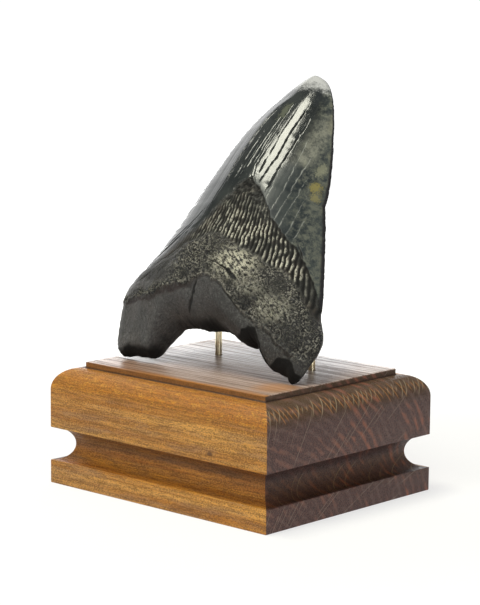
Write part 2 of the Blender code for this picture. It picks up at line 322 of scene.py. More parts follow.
def placed(name, data):
    """An object in the scene that holds this mesh, camera or lamp."""
    holder = bpy.data.objects.new(name, data)
    bpy.context.scene.collection.objects.link(holder)
    return holder


def add_piece(name, mesh, material):
    mesh.materials.append(material)
    return placed(name, mesh)


# ---- Tooth ----


def edge_position(edge, side, w):
    """How far across a side edge lies at each height: it closes round at the tip."""
    heights, across = np.array(edge).T
    roots = [(math.sqrt(1 - height / TIP_HEIGHT), x) for height, x in zip(heights, across)]
    roots.append((0, 0))
    roots.sort()
    position = spline(roots, np.sqrt(np.clip(1 - w / TIP_HEIGHT, 0, 1)))
    worn = 0.22 * np.abs(lumps(w, 0 * w, 3.1, 57 + side)) + 0.2 * np.abs(lumps(w, 0 * w, 1.3, 59))
    position = position - side * worn * ramp(TIP_HEIGHT, TIP_HEIGHT - 8, w)
    for chip_side, height, half_height, depth in CHIPS:
        if chip_side == side:
            position = position - side * depth * bell((w - height) / half_height)
    return position


def broken(x, w, size, seed):
    """Uneven heights from about -1 to 1, with finer lumps on the coarse ones."""
    total = sum(0.6**step * lumps(x, w, size / 2**step, seed + 7 * step) for step in range(3))
    return total / 1.4


def crown_lines(x, w, lines, seed):
    """1 in the narrow ragged lines of a table, and 0 beside them."""
    found = np.zeros_like(w)
    for index, (half_width, points) in enumerate(lines):
        low, high = points[0][0], points[-1][0]
        sway = 0.22 * lumps(w, 0 * w, 6, seed + index) + 0.16 * lumps(w, 0 * w, 1.7, seed + 9)
        foot, head = min(5, (high - low) / 4), min(9, (high - low) / 3)
        ends = ramp(0, foot, w - low) * ramp(0, head, high - w)
        width = half_width * ends * (1 + 0.7 * lumps(w, 0 * w, 1.6, seed + 20 + index))
        away = np.abs(x - spline(points, w) - sway)
        inside = (w > low) & (w < high)
        found = np.maximum(found, inside * (1 - ramp(-0.14, 0.12, away - width)))
    return found


def hairline_gaps(x, w):
    """1 where the hairlines and their painted pale reflection show, 0 where they break off."""
    return ramp(-0.7, -0.3, 0.7 * lumps(x, w, 4.5, 17) + 0.7 * lumps(x, w, 0.9, 18))


def band_borders(x, a, w):
    """0 to 1 above the ribbed band's ragged upper border, and below its foot."""
    top = spline(BAND_TOP, a) + 1.6 * broken(x, w, 3.4, 31)
    foot = spline(BOURLETTE_FOOT, a) + 1.2 * broken(x, w, 4, 33)
    soft = 8 * ramp(0.18, -0.02, a)
    return ramp(-0.6 - soft, 0.5, w - top), ramp(-1.2, 1.8, foot - w)


def band_apex(x, a, w):
    """1 in the grainy patch below the band's highest point, where the ribs give out."""
    below = spline(BAND_TOP, a) - w
    near = bell((a - 0.2) / 0.32)
    return near * (1 - ramp(6, 11, below + 2 * lumps(x, w, 3, 35)))


def left_arm(a):
    """Rises from 0 along the band's left arm, where its ribs are fine and low, to 1."""
    return ramp(-0.5, -0.12, a)


def bourlette_ribs(x, a, w):
    """Uneven ribs that run up the band and break into beads."""
    sway = 0.3 * lumps(x, w, 9, 21) + 0.2 * lumps(x, w, 3, 22)
    ridge = (0.5 + 0.5 * np.cos(2 * math.pi * (a * RIB_COUNT + sway))) ** 1.3
    beads = np.clip(0.85 + 0.6 * lumps(x * 1.6, w, 2, 23), 0.1, 1.3)
    grains = np.clip(0.4 + 0.9 * broken(x, w, 1.6, 25), 0, 1.2)
    apex = band_apex(x, a, w)
    below_top = spline(BAND_TOP, a) - w
    grown = ramp(0, 3 + 7 * ramp(0.35, 0.1, a), below_top)
    ribs = ridge * beads * (0.3 + 0.7 * left_arm(a)) * (0.25 + 0.75 * grown)
    return ribs * (1 - apex) + grains * apex


def lingual_height(x, a, w, lower):
    """The bulging face: round root, ribbed band and lens-shaped crown with sharp edges."""
    level = spline(RIM_LEVEL, w)
    crown = ramp(30 - 8 * np.abs(a), 64 - 20 * np.abs(a), w)
    profile = np.clip(1 - np.abs(a) ** 2.05, 0, 1) ** (0.52 + 0.44 * crown)
    edge = smooth_edge(a)
    chips = (lower - edge) * np.exp(-(w - lower) / 1.5)
    rim = rounded(w - edge - chips, spline(FRONT_ROUND, a), 2.2)
    inner = np.clip(profile * rim * 3, 0, 1)
    above, below = band_borders(x, a, w)
    band = (1 - above) * (1 - below)
    step = ENAMEL_STEP * ramp(0.1, 0.3, a)
    blend = ramp(-7, 1, w - spline(BAND_TOP, a))
    detail = step * above + (ENAMEL_STEP - step) * blend + ROOT_STEP * below
    detail += RIB_HEIGHT * bourlette_ribs(x, a, w) * band
    detail += above * enamel_relief(x, a, w) + below * root_relief(x, a, w)
    detail -= 0.5 * crown_lines(x, w, ROOT_CRACKS, 150)
    for middle_x, middle_w, half_width, half_height, depth in HOLLOWS:
        away = np.hypot((x - middle_x) / half_width, (w - middle_w) / half_height)
        detail -= depth * bell(away)
    return level + (spline(LINGUAL_CREST, w) - level) * profile * rim + detail * inner


def enamel_relief(x, a, w):
    """Cracks, hairlines and the fine lines that run up the left of the crown."""
    relief = -0.4 * crown_lines(x, w, CRACKS, 80)
    relief -= 0.1 * crown_lines(x, w, HAIRLINES, 120) * hairline_gaps(x, w)
    outside = np.clip(spline(LEFT_CREASE, w) - x, 0, CREASE_REACH)
    relief -= CREASE_SLOPE * outside * ramp(62, 74, w) * ramp(141, 130, w)
    left = ramp(-0.08, -0.2, a) * ramp(-0.75, -0.45, a)
    lines = np.cos(2 * math.pi * (x / 1.15 + 0.5 * lumps(x, w * 0.15, 3, 45)))
    relief += 0.035 * left * lines * ramp(-0.5, 0.5, lumps(x, w * 0.12, 1.2, 46))
    return relief + 0.03 * lumps(x * 1.6, w * 0.09, 2, 44)


def root_relief(x, a, w):
    """Low lumps all over, grit and a flaky rim above the border, and long dents below it."""
    grit = rough_root(x, a, w)
    relief = ROOT_LUMP_HEIGHT * lumps(x, w, ROOT_LUMP_SIZE, 3)
    relief += grit * (0.5 * broken(x, w, 2.8, 41) + 0.45 * broken(x, w, 1.3, 47))
    relief += (1 - grit) * (0.2 * lumps(x, w, 4, 43) + 0.1 * lumps(x, w, 1.4, 48))
    over = w - grit_border(x, a, w)
    ragged = np.clip(0.6 + 0.8 * broken(x, w, 2.4, 49), 0, 1.4)
    relief += 0.55 * bell((over - 1) / 0.9) * ragged
    return relief - 0.35 * bell((over + 0.9) / 0.8) * ragged


def grit_border(x, a, w):
    return spline(GRIT_BORDER, a) + 1.3 * broken(x, w, 5, 51)


def rough_root(x, a, w):
    """1 where the root's surface is open and gritty, 0 where it is worn smooth."""
    over = w - grit_border(x, a, w)
    left_shoulder = ramp(-0.2, -0.42, a) * ramp(2, 5, over)
    soft = 4.5 * ramp(0.35, 0.5, a)
    return ramp(-0.7 - soft, 0.9 + soft, over) * (1 - 0.9 * left_shoulder)


def flaky_rim(x, a, w):
    """1 on the pale flakes just above the grit's border, most of them beside the arch."""
    over = w - grit_border(x, a, w)
    flakes = ramp(-0.1, 0.35, broken(x, w, 1.7, 53))
    return bell((over - 1.3) / 1.3) * flakes * ramp(0.75, 0.5, a) * ramp(-0.7, -0.1, a)


def painted_shade_underside(x, a, w, lower):
    """1 on the underside of the lobes and of the arch between them, painted near black as shade."""
    height = spline(PAINTED_SHADE_UNDERSIDE_HEIGHT, a) + 0.5 * lumps(x, w, 2, 71)
    soft = 0.9 * ramp(0.35, 0.2, a)
    return ramp(-0.4 - soft, 0.4 + soft, height - (w - lower))


def labial_height(x, a, w, lower):
    """The flatter face at the back, with the enamel ending in an arch above the root lobes."""
    level = spline(RIM_LEVEL, w)
    crown = ramp(22, 62, w)
    profile = np.clip(1 - np.abs(a) ** (4 - 1.4 * crown), 0, 1) ** (0.5 + 0.3 * crown)
    rim = rounded(w - lower, LABIAL_ROUND, 2)
    inner = np.clip(profile * rim * 3, 0, 1)
    border = labial_border(a)
    detail = ENAMEL_STEP * ramp(-1, 1, w - border)
    below = ramp(0, 6, border - w)
    detail += ROOT_LUMP_HEIGHT * lumps(x, w, ROOT_LUMP_SIZE, 8) * below
    detail += 0.25 * lumps(x, w, 2.6, 61) * below
    return level + (spline(LABIAL_CREST, w) - level) * profile * rim - detail * inner


def labial_border(a):
    """Height of the enamel's lower border on the back."""
    return LABIAL_ENAMEL_MIDDLE + (LABIAL_ENAMEL_SIDES - LABIAL_ENAMEL_MIDDLE) * a * a


def smooth_edge(a):
    """The CAD model's lower edge, a little lower along the arch and at the right lobe."""
    return spline(LOWER_EDGE, a) - 0.9 * bell((a + 0.06) / 0.3) - 0.6 * bell((a - 0.89) / 0.05)


def lower_edge(a):
    """The lower edge with small chips, except where the tooth rests on the platform."""
    chips = 0.25 + 0.25 * lumps(a * 50, 0 * a, 2.2, 73) + 0.2 * lumps(a * 50, 0 * a, 0.9, 74)
    resting = bell((np.abs(a) - 0.94) / 0.06)
    return smooth_edge(a) + chips * (1 - resting)


def tooth_points(a, v, height):
    """Points of one face, for a across the tooth (-1 to 1) and v up it (0 to 1)."""
    lower = lower_edge(a)
    w = lower + (TIP_HEIGHT - TIP_WEAR - lower) * v
    left = edge_position(LEFT_EDGE, -1, w)
    right = edge_position(RIGHT_EDGE, 1, w)
    x = (left + right) / 2 + a * (right - left) / 2
    return np.stack([x, -height(x, a, w, lower), w], axis=-1)


def columns_across():
    """Places from -1 to 1, a little closer together at both ends."""
    even = np.linspace(0, 1, COLUMNS + 1)
    return 2 * (0.7 * even + 0.3 * (1 - np.cos(math.pi * even)) / 2) - 1


def rows_up():
    """Places from 0 to 1: closest at the lower edge, and wider apart up the crown."""
    place = np.linspace(0, 1, 400)
    density = 0.5 + 0.6 * (1 - ramp(0.5, 0.75, place))
    density += 2 * (1 - ramp(0, 0.04, place))
    total = np.concatenate([[0], np.cumsum(density[1:] + density[:-1])])
    return np.interp(np.linspace(0, total[-1], ROWS + 1), total, place)


def tooth_placement():
    """The tooth's frame in the world: its own x, back and up, leant back and turned."""
    turn = Matrix.Rotation(TOOTH_TURN, 4, "Z") @ Matrix.Rotation(-TOOTH_LEAN, 4, "X")
    return Matrix.Translation(TOOTH_LOCATION) @ turn


def front_index(row, column):
    return row * (COLUMNS + 1) + column


def back_index(row, column):
    start = front_index(ROWS + 1, 0)
    width = COLUMNS // BACK_COLUMN_STEP + 1
    return start + row // BACK_ROW_STEP * width + column // BACK_COLUMN_STEP


def front_faces():
    """Quads, but two triangles at the lower right corner, split from its point inwards."""
    corners = ((0, 0), (0, 1), (1, 1), (1, 0))
    faces = [
        [front_index(row + up, column + across) for up, across in corners]
        for row in range(ROWS)
        for column in range(COLUMNS)
    ]
    inner, corner, above, across = faces[COLUMNS - 1]
    faces[COLUMNS - 1] = [corner, above, across]
    return faces + [[corner, across, inner]]


def back_faces():
    """Coarser faces, whose sides on the outline take in each of the front's points there."""
    faces = []
    for row in range(0, ROWS, BACK_ROW_STEP):
        for column in range(0, COLUMNS, BACK_COLUMN_STEP):
            above, after = row + BACK_ROW_STEP, column + BACK_COLUMN_STEP
            up = [back_index(row, column)]
            if column == 0:
                up += [front_index(between, 0) for between in range(row + 1, above)]
            down = [back_index(above, after)]
            if after == COLUMNS:
                down += [front_index(between, COLUMNS) for between in range(above - 1, row, -1)]
            faces.append(up + [back_index(above, column)] + down + [back_index(row, after)])
            if row == 0:
                faces[-1] += [front_index(0, between) for between in range(after - 1, column, -1)]
    return faces


def tip_faces():
    """The small worn flat at the tip, between the top rows of both faces."""
    faces = []
    for column in range(0, COLUMNS, BACK_COLUMN_STEP):
        after = column + BACK_COLUMN_STEP
        front = [front_index(ROWS, between) for between in range(column, after + 1)]
        faces.append(front + [back_index(ROWS, after), back_index(ROWS, column)])
    return faces


def tooth_mesh():
    """One closed surface: a fine grid for the lingual face and a coarse one for the labial."""
    front = np.stack(np.meshgrid(columns_across(), rows_up()), axis=0)
    back = front[:, ::BACK_ROW_STEP, ::BACK_COLUMN_STEP]
    points = np.concatenate(
        [
            tooth_points(front[0], front[1], lingual_height).reshape(-1, 3),
            tooth_points(back[0], back[1], labial_height).reshape(-1, 3),
        ]
    )
    mesh = bpy.data.meshes.new("fossil_tooth")
    mesh.from_pydata((points * MM).tolist(), [], front_faces() + back_faces() + tip_faces())
    a = np.concatenate([front[0].ravel(), back[0].ravel()])
    side = np.concatenate([np.ones(front[0].size), np.zeros(back[0].size)])
    for name, values in tooth_masks(a, points, side).items():
        layer = mesh.attributes.new(name, "FLOAT", "POINT")
        layer.data.foreach_set("value", values.astype(np.float32))
    layer = mesh.attributes.new("tooth_frame", "FLOAT_VECTOR", "POINT")
    layer.data.foreach_set("vector", points.astype(np.float32).ravel())
    bm = bmesh.new()
    bm.from_mesh(mesh)
    bmesh.ops.remove_doubles(bm, verts=bm.verts, dist=MERGE_DISTANCE * MM)
    bm.to_mesh(mesh)
    bm.free()
    mesh.transform(tooth_placement())
    mesh.shade_smooth()
    return mesh


def tooth_masks(a, points, side):
    """Where each surface of the fossil lies, from 0 to 1 at each point."""
    x, w = points[:, 0], points[:, 2]
    above, below = band_borders(x, a, w)
    back_enamel = ramp(-1, 1, w - labial_border(a))
    band = (1 - above) * (1 - below)
    ribs = bourlette_ribs(x, a, w)
    # The rib valleys get painted shade and the crests a painted highlight.
    valleys = (1 - np.clip(ribs * 1.5, 0, 1)) * (0.3 + 0.7 * left_arm(a))
    crests = ramp(0.55, 0.9, ribs) * ramp(0.98, 0.75, a) * (0.5 + 0.5 * left_arm(a))
    cracks = np.maximum(above * crown_lines(x, w, CRACKS, 80), crown_lines(x, w, ROOT_CRACKS, 150))
    past_crack = x - spline(CRACKS[1][1], w)
    dull_side = ramp(-0.3, 0.5 + 9 * ramp(88, 102, w), past_crack)
    over_apex = w - spline(BAND_TOP, a)
    dull_side = np.maximum(dull_side, ramp(4, 0.5, over_apex) * ramp(0.22, 0.3, a))
    return {
        "across": a,
        "enamel": side * above + (1 - side) * back_enamel,
        "root": side * below + (1 - side) * (1 - back_enamel),
        "gritty": side * rough_root(x, a, w) * below,
        # broken: the underside, painted near black as shade.
        "broken": painted_shade_underside(x, a, w, lower_edge(a)),
        "cracked": side * cracks,
        "crests": side * band * crests,
        # The pale hairlines are a painted reflection.
        "hairline": side * above * crown_lines(x, w, HAIRLINES, 120) * hairline_gaps(x, w),
        "valleys": side * band * valleys,
        "dull": side * dull_side,
        "flaky": side * flaky_rim(x, a, w),
        "groove": side * bell((w - grit_border(x, a, w) + 0.9) / 0.9) * ramp(0, -0.2, a),
    }


# ---- Base ----


def base_profile():
    """Pairs of inset and height up the base's side, from the bottom to the platform's edge."""
    lip = math.acos(-COVE_SET_IN / COVE_RADIUS)
    pairs = [(0, 0)]
    for step in range(COVE_STEPS + 1):
        angle = -lip + 2 * lip * step / COVE_STEPS
        inset = COVE_SET_IN + COVE_RADIUS * math.cos(angle)
        pairs.append((inset, COVE_HEIGHT + COVE_RADIUS * math.sin(angle)))
    for step in range(ROUNDOVER_STEPS + 1):
        angle = step / ROUNDOVER_STEPS * math.pi / 2
        inset = ROUNDOVER_RADIUS * (1 - math.cos(angle))
        height = LEDGE_HEIGHT - ROUNDOVER_RADIUS * (1 - math.sin(angle))
        pairs.append((inset, height))
    pairs += [(PLATFORM_INSET, LEDGE_HEIGHT), (PLATFORM_INSET, PLATFORM_TOP)]
    return pairs


def base_block():
    """The profile carried round the four sides with mitred corners, closed top and bottom."""
    bm = bmesh.new()
    rings = []
    corners = ((-1, -1), (1, -1), (1, 1), (-1, 1))
    for inset, height in base_profile():
        half_x, half_y = BASE_WIDTH / 2 - inset, BASE_DEPTH / 2 - inset
        rings.append([bm.verts.new((i * half_x, j * half_y, height)) for i, j in corners])
    for low, high in zip(rings, rings[1:]):
        for corner in range(4):
            after = (corner + 1) % 4
            bm.faces.new([low[corner], low[after], high[after], high[corner]])
    bm.faces.new(rings[0][::-1])
    bm.faces.new(rings[-1])
    return mesh_from(bm, "wood_base")


def hole_cutter(place):
    radius = PIN_RADIUS + GAP
    bm = bmesh.new()
    bmesh.ops.create_cone(
        bm, cap_ends=True, segments=HOLE_SIDES, radius1=radius, radius2=radius,
        depth=2 * PIN_HOLE_DEPTH, matrix=Matrix.Translation((*place, PLATFORM_TOP)),
    )
    return placed("hole", mesh_from(bm, "hole"))


def make_base(material):
    base = add_piece("wood_base", base_block(), material)
    eased = base.modifiers.new("eased edges", "BEVEL")
    eased.limit_method = "ANGLE"
    eased.angle_limit = math.radians(30)
    eased.width = EASED_EDGE
    eased.segments = 3
    cutters = [hole_cutter(place) for place in PINS.values()]
    for cutter in cutters:
        hole = base.modifiers.new("pin hole", "BOOLEAN")
        hole.object = cutter
        hole.operation = "DIFFERENCE"
        hole.solver = "EXACT"
    apply_modifiers(base)
    for cutter in cutters:
        bpy.data.objects.remove(cutter)
    base.data.shade_smooth()
    base.data.set_sharp_from_angle(angle=math.radians(40))
    return base


def apply_modifiers(obj):
    evaluated = obj.evaluated_get(bpy.context.evaluated_depsgraph_get())
    mesh = bpy.data.meshes.new_from_object(evaluated)
    obj.modifiers.clear()
    obj.data = mesh


# ---- Pins ----


def make_pin(node, material):
    """A turned brass rod with a domed top, standing in its hole."""
    place = PINS[node]
    low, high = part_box(node)
    length = high.z - low.z
    profile = [(0, length)]
    for step in range(1, PIN_DOME_STEPS + 1):
        angle = step / PIN_DOME_STEPS * math.pi / 2
        height = length - PIN_RADIUS + PIN_RADIUS * math.cos(angle)
        profile.append((PIN_RADIUS * math.sin(angle), height))
    profile += [(PIN_RADIUS, PIN_FOOT_EDGE), (PIN_RADIUS - PIN_FOOT_EDGE, 0), (0, 0)]
    bm = bmesh.new()
    verts = [bm.verts.new((radius, 0, height)) for radius, height in profile]
    edges = [bm.edges.new(pair) for pair in zip(verts, verts[1:])]
    bmesh.ops.spin(
        bm, geom=verts + edges, axis=(0, 0, 1), cent=(0, 0, 0),
        angle=2 * math.pi, steps=PIN_SIDES, use_merge=True,
    )
    bmesh.ops.remove_doubles(bm, verts=bm.verts, dist=PIN_MERGE)
    bmesh.ops.recalc_face_normals(bm, faces=bm.faces)
    bmesh.ops.translate(bm, vec=(*place, low.z), verts=bm.verts)
    mesh = mesh_from(bm, f"brass_{node}")
    mesh.shade_smooth()
    mesh.set_sharp_from_angle(angle=math.radians(40))
    return add_piece(f"brass_{node}", mesh, material)


# ---- Materials ----

# Colours are linear RGB. A pair of them is mottled from one to the other.
WHITE = (1, 1, 1)
OLIVE_ENAMEL = ((0.042, 0.051, 0.05), (0.11, 0.116, 0.092))
GLOSSY_ENAMEL = ((0.013, 0.016, 0.016), (0.026, 0.03, 0.029))
DULL_ENAMEL = ((0.006, 0.011, 0.014), (0.024, 0.031, 0.031))
TAN_MOTTLE = (0.17, 0.165, 0.11)
DARK_SPOT = (0.022, 0.028, 0.032)
# Paler enamel, partly its own tone and partly painted spill of the highlight.
PALE_SIDE_AND_HIGHLIGHT_SPILL = (0.25, 0.25, 0.2)
# Painted highlight at the tip.
TIP_PAINTED_HIGHLIGHT = (0.42, 0.425, 0.43)
THIN_EDGE = (0.012, 0.011, 0.013)
ENAMEL_STREAK = (0.15, 0.15, 0.13)
# Painted reflection on the hairlines.
HAIRLINE_PAINTED_REFLECTION = (0.3, 0.31, 0.28)
RIBBED_BAND = ((0.02, 0.02, 0.016), (0.036, 0.026, 0.017))
# Painted shade in the rib valleys and a painted highlight on their crests.
RIB_VALLEY_PAINTED_SHADE = (0.002, 0.002, 0.0015)
RIB_CREST_PAINTED_HIGHLIGHT = (0.6, 0.58, 0.47)
SMOOTH_ROOT = ((0.056, 0.055, 0.053), (0.068, 0.062, 0.058))
SMOOTH_ROOT_RIGHT = (0.036, 0.035, 0.032)
PALE_SCRATCH = (0.12, 0.117, 0.11)
DARK_SCRATCH = (0.018, 0.017, 0.016)
LEFT_SHOULDER = (0.018, 0.018, 0.017)
SHOULDER_LINES = ((0.06, 0.059, 0.057), (0.003, 0.003, 0.003))
DARK_PIT = (0.015, 0.014, 0.013)
PALE_PIT_RIM = (0.1, 0.097, 0.09)
# The pale grains are partly grey grain and partly painted glints.
GRIT_AND_PAINTED_GLINTS = ((0.006, 0.0058, 0.005), (0.22, 0.21, 0.17))
# Painted highlight of glinting grains.
CREAM_PAINTED_HIGHLIGHT = (0.5, 0.48, 0.37)
PALE_FLAKE = (0.26, 0.245, 0.2)
RED_GROOVE = (0.018, 0.009, 0.007)
# Near black: painted shade on the underside.
UNDERSIDE_PAINTED_SHADE = (0.003, 0.0025, 0.002)
DARK_CRACK = (0.003, 0.003, 0.002)
LONG_GRAIN = ((0.53, 0.2, 0.014), (0.77, 0.385, 0.075))
BROWN_FIGURE = (0.38, 0.21, 0.095)
ORANGE_ROUNDOVER = (0.43, 0.145, 0.001)
GOLD_FIGURE = (0.75, 0.37, 0.035)
DARK_KNOT = (0.06, 0.025, 0.008)
RED_RISER = (0.27, 0.1, 0.01)
DARK_PORE = (0.12, 0.045, 0.006)
PLATFORM = ((0.46, 0.34, 0.28), (0.17, 0.11, 0.085))
PLATFORM_BROWN = ((0.27, 0.125, 0.05), (0.07, 0.028, 0.014))
PLATFORM_FRONT = (0.36, 0.14, 0.02)
# Painted reflection of the right lobe: the top without its glare.
LOBE_REFLECTION_PATCH = (0.42, 0.17, 0.03)
END_GRAIN = ((0.036, 0.0145, 0.011), (0.14, 0.064, 0.05))
END_GRAIN_TOP = (0.07, 0.036, 0.01)
GREY_ARC = (0.17, 0.1, 0.08)
ORANGE_ARC = (0.3, 0.095, 0.045)
PALE_RAY = (0.3, 0.22, 0.16)
ORANGE_FLECK = (0.45, 0.18, 0.04)
PALE_FLECK = (0.42, 0.33, 0.2)
# Painted shade in the cove, and a painted shadow along the platform's foot.
UPPER_COVE_PAINTED_SHADE = (0.36, 0.29, 0.3)
LOWER_COVE_PAINTED_SHADE = (0.75, 0.6, 0.25)
LEDGE_PAINTED_SHADOW = (0.03, 0.012, 0.004)
BRASS = ((0.93, 0.84, 0.6), (0.8, 0.68, 0.42))

# Noises: size in millimetres, detail and roughness, then any stretch along each axis.
EVEN = (1, 1, 1)
FOSSIL_NOISES = {
    "mottle": (3, 6, 0.78),
    "patches": (12, 3, 0.55),
    "spots": (4.5, 3, 0.6),
    "warm": (9, 3, 0.6),
    "clumps": (8, 2, 0.5),
    "grains": (1.25, 2.5, 0.7),
    "pits": (1, 3, 0.7),
    "specks": (0.8, 2, 0.7),
    "fine": (0.6, 3, 0.65),
    "streaks": (0.7, 3, 0.6, (1, 1, 0.04)),
    "scratches": (0.8, 3, 0.7, (1, 1, 0.3)),
}
WOOD_NOISES = {
    "sway": (1, 2, 0.5, (0.012, 0.07, 0.07)),
    "short_pores": (0.42, 3, 0.8, (0.55, 1, 1)),
    "long_pores": (0.8, 3, 0.7, (0.06, 1, 1)),
    "mottle": (3, 4, 0.65, (0.12, 1, 1)),
    "figure": (1.5, 3, 0.7, (0.4, 1, 1)),
    "speckle": (0.6, 4, 0.7),
    "cloud": (14, 3, 0.6),
    "patches": (11, 2, 0.5),
}
BRASS_NOISES = {"scratches": (1.2, 3, 0.6, (6, 6, 0.15)), "tarnish": (2.5, 3, 0.6)}


class Value:
    """What a node gives at each point of a surface. Arithmetic on it adds nodes."""

    def __init__(self, graph, socket):
        self.graph = graph
        self.socket = socket

    def __add__(self, other):
        return self.graph.math("ADD", self, other)

    def __sub__(self, other):
        return self.graph.math("SUBTRACT", self, other)

    def __rsub__(self, other):
        return self.graph.math("SUBTRACT", other, self)

    def __mul__(self, other):
        return self.graph.math("MULTIPLY", self, other)

    def __truediv__(self, other):
        return self.graph.math("DIVIDE", self, other)

    def __abs__(self):
        return self.graph.math("ABSOLUTE", self)

    def swing(self, amount):
        """A noise moved to lie about zero, times amount."""
        return (self - 0.5) * amount

    def spread(self, low, high, to_low=0, to_high=1):
        """Low to high becomes to_low to to_high along a smooth step."""
        sockets = {0: self, 1: low, 2: high, 3: to_low, 4: to_high}
        return self.graph.node("MapRange", sockets, interpolation_type="SMOOTHSTEP")

    def pick(self, first, second):
        """The first number where this is 0, and the second where it is 1."""
        return self.graph.node("Mix", {0: self, 2: first, 3: second})

    def mix(self, first, second, blend="MIX"):
        """The first colour where this is 0, and the second where it is 1."""
        sockets = {0: self, 6: first, 7: second}
        return self.graph.node("Mix", sockets, 2, data_type="RGBA", blend_type=blend)


class Graph:
    """Builds the nodes of a material or of the world."""

    def __init__(self, owner):
        self.owner = owner
        owner.use_nodes = True
        self.tree = owner.node_tree

    def feed(self, socket, value):
        if isinstance(value, Value):
            self.tree.links.new(value.socket, socket)
        elif isinstance(value, tuple) and socket.type == "RGBA":
            socket.default_value = (*value, 1)
        else:
            socket.default_value = value

    def node(self, kind, sockets, output=0, **settings):
        made = self.tree.nodes.new("ShaderNode" + kind)
        for setting, value in settings.items():
            setattr(made, setting, value)
        for socket, value in sockets.items():
            self.feed(made.inputs[socket], value)
        return Value(self, made.outputs[output])

    def math(self, operation, first, second=0.5):
        return self.node("Math", {0: first, 1: second}, operation=operation)

    def combine(self, x, y):
        return self.node("CombineXYZ", {0: x, 1: y})

    def split(self, vector):
        return [self.node("SeparateXYZ", {0: vector}, axis) for axis in "XYZ"]

    def length(self, x, y):
        return self.node("VectorMath", {0: self.combine(x, y)}, "Value", operation="LENGTH")

    def attribute(self, name, output="Fac"):
        return self.node("Attribute", {}, output, attribute_name=name)

    def seen(self):
        """1 in what the camera sees directly."""
        return self.node("LightPath", {}, "Is Camera Ray")

    def position(self, stretch=EVEN):
        """The piece's own coordinates in millimetres, times stretch."""
        place = self.node("TexCoord", {}, "Object")
        return self.scaled(place, tuple(value / MM for value in stretch))

    def tooth_position(self, stretch=EVEN):
        """The tooth's own frame in millimetres, times stretch."""
        return self.scaled(self.attribute("tooth_frame", "Vector"), stretch)

    def scaled(self, place, scale):
        return self.node("VectorMath", {0: place, 1: scale}, operation="MULTIPLY")

    def noise(self, place, size, detail=2, roughness=0.5):
        sockets = {"Vector": place, "Scale": 1 / size, "Detail": detail, "Roughness": roughness}
        return self.node("TexNoise", sockets, "Fac")

    def noises(self, table, position):
        return {name: self.noise(position(*row[3:]), *row[:3]) for name, row in table.items()}

    def scattered_lines(self, turn, margin):
        """One line in each whole turn: the turn's number, its chance and how far off it lies."""
        cell = self.math("FLOOR", turn)
        chance = self.node("TexWhiteNoise", {"W": cell}, "Value", noise_dimensions="1D")
        return cell, chance, abs(self.math("FRACT", turn) - chance.pick(margin, 1 - margin))

    def bump(self, height, distance, strength=1):
        sockets = {"Height": height, "Distance": distance * MM, "Strength": strength}
        return self.node("Bump", sockets, "Normal")

    def shade(self, **sockets):
        """Feeds the Principled shader's sockets, and gives its material."""
        shader = self.tree.nodes["Principled BSDF"]
        for name, value in sockets.items():
            self.feed(shader.inputs[name.replace("_", " ")], value)
        return self.owner


def coated(colour, *coats):
    """The colour under coats of other colours, each as strong as the value before it."""
    for strength, coat in coats:
        colour = strength.mix(colour, coat)
    return colour


def fossil_material():
    """In the functions below, at holds the place on the tooth, its masks and its noises."""
    g = Graph(bpy.data.materials.new("fossil"))
    x, _, w = g.split(g.tooth_position())
    masks = {name: g.attribute(name) for name in FOSSIL_MASKS}
    at = SimpleNamespace(x=x, w=w, **masks, **g.noises(FOSSIL_NOISES, g.tooth_position))
    root = at.gritty.mix(smooth_root_colour(g, at), gritty_root_colour(g, at))
    # The underside is darkened near black as painted shade.
    root = coated(root, (at.groove * 0.85, RED_GROOVE), (at.broken, UNDERSIDE_PAINTED_SHADE))
    colour = at.enamel.mix(at.root.mix(band_colour(at), root), enamel_colour(g, at))
    return g.shade(
        Base_Color=at.cracked.mix(colour, DARK_CRACK),
        Roughness=fossil_roughness(g, at),
        Normal=g.bump(fossil_relief(g, at), 1),
        Specular_IOR_Level=0.4,
    )


def from_patch(g, at, patch):
    """How far from a patch's middle, in its half sizes."""
    middle_x, middle_w, half_x, half_w = patch
    return g.length((at.x - middle_x) / half_x, (at.w - middle_w) / half_w)


def slanted_noise(g, at, rise, stretch, *noise):
    """A noise stretched along a slope over the tooth's plane."""
    run = 0.8
    along = at.x * run + at.w * rise
    return g.noise(g.combine(along * stretch, at.w * run - at.x * rise), *noise)


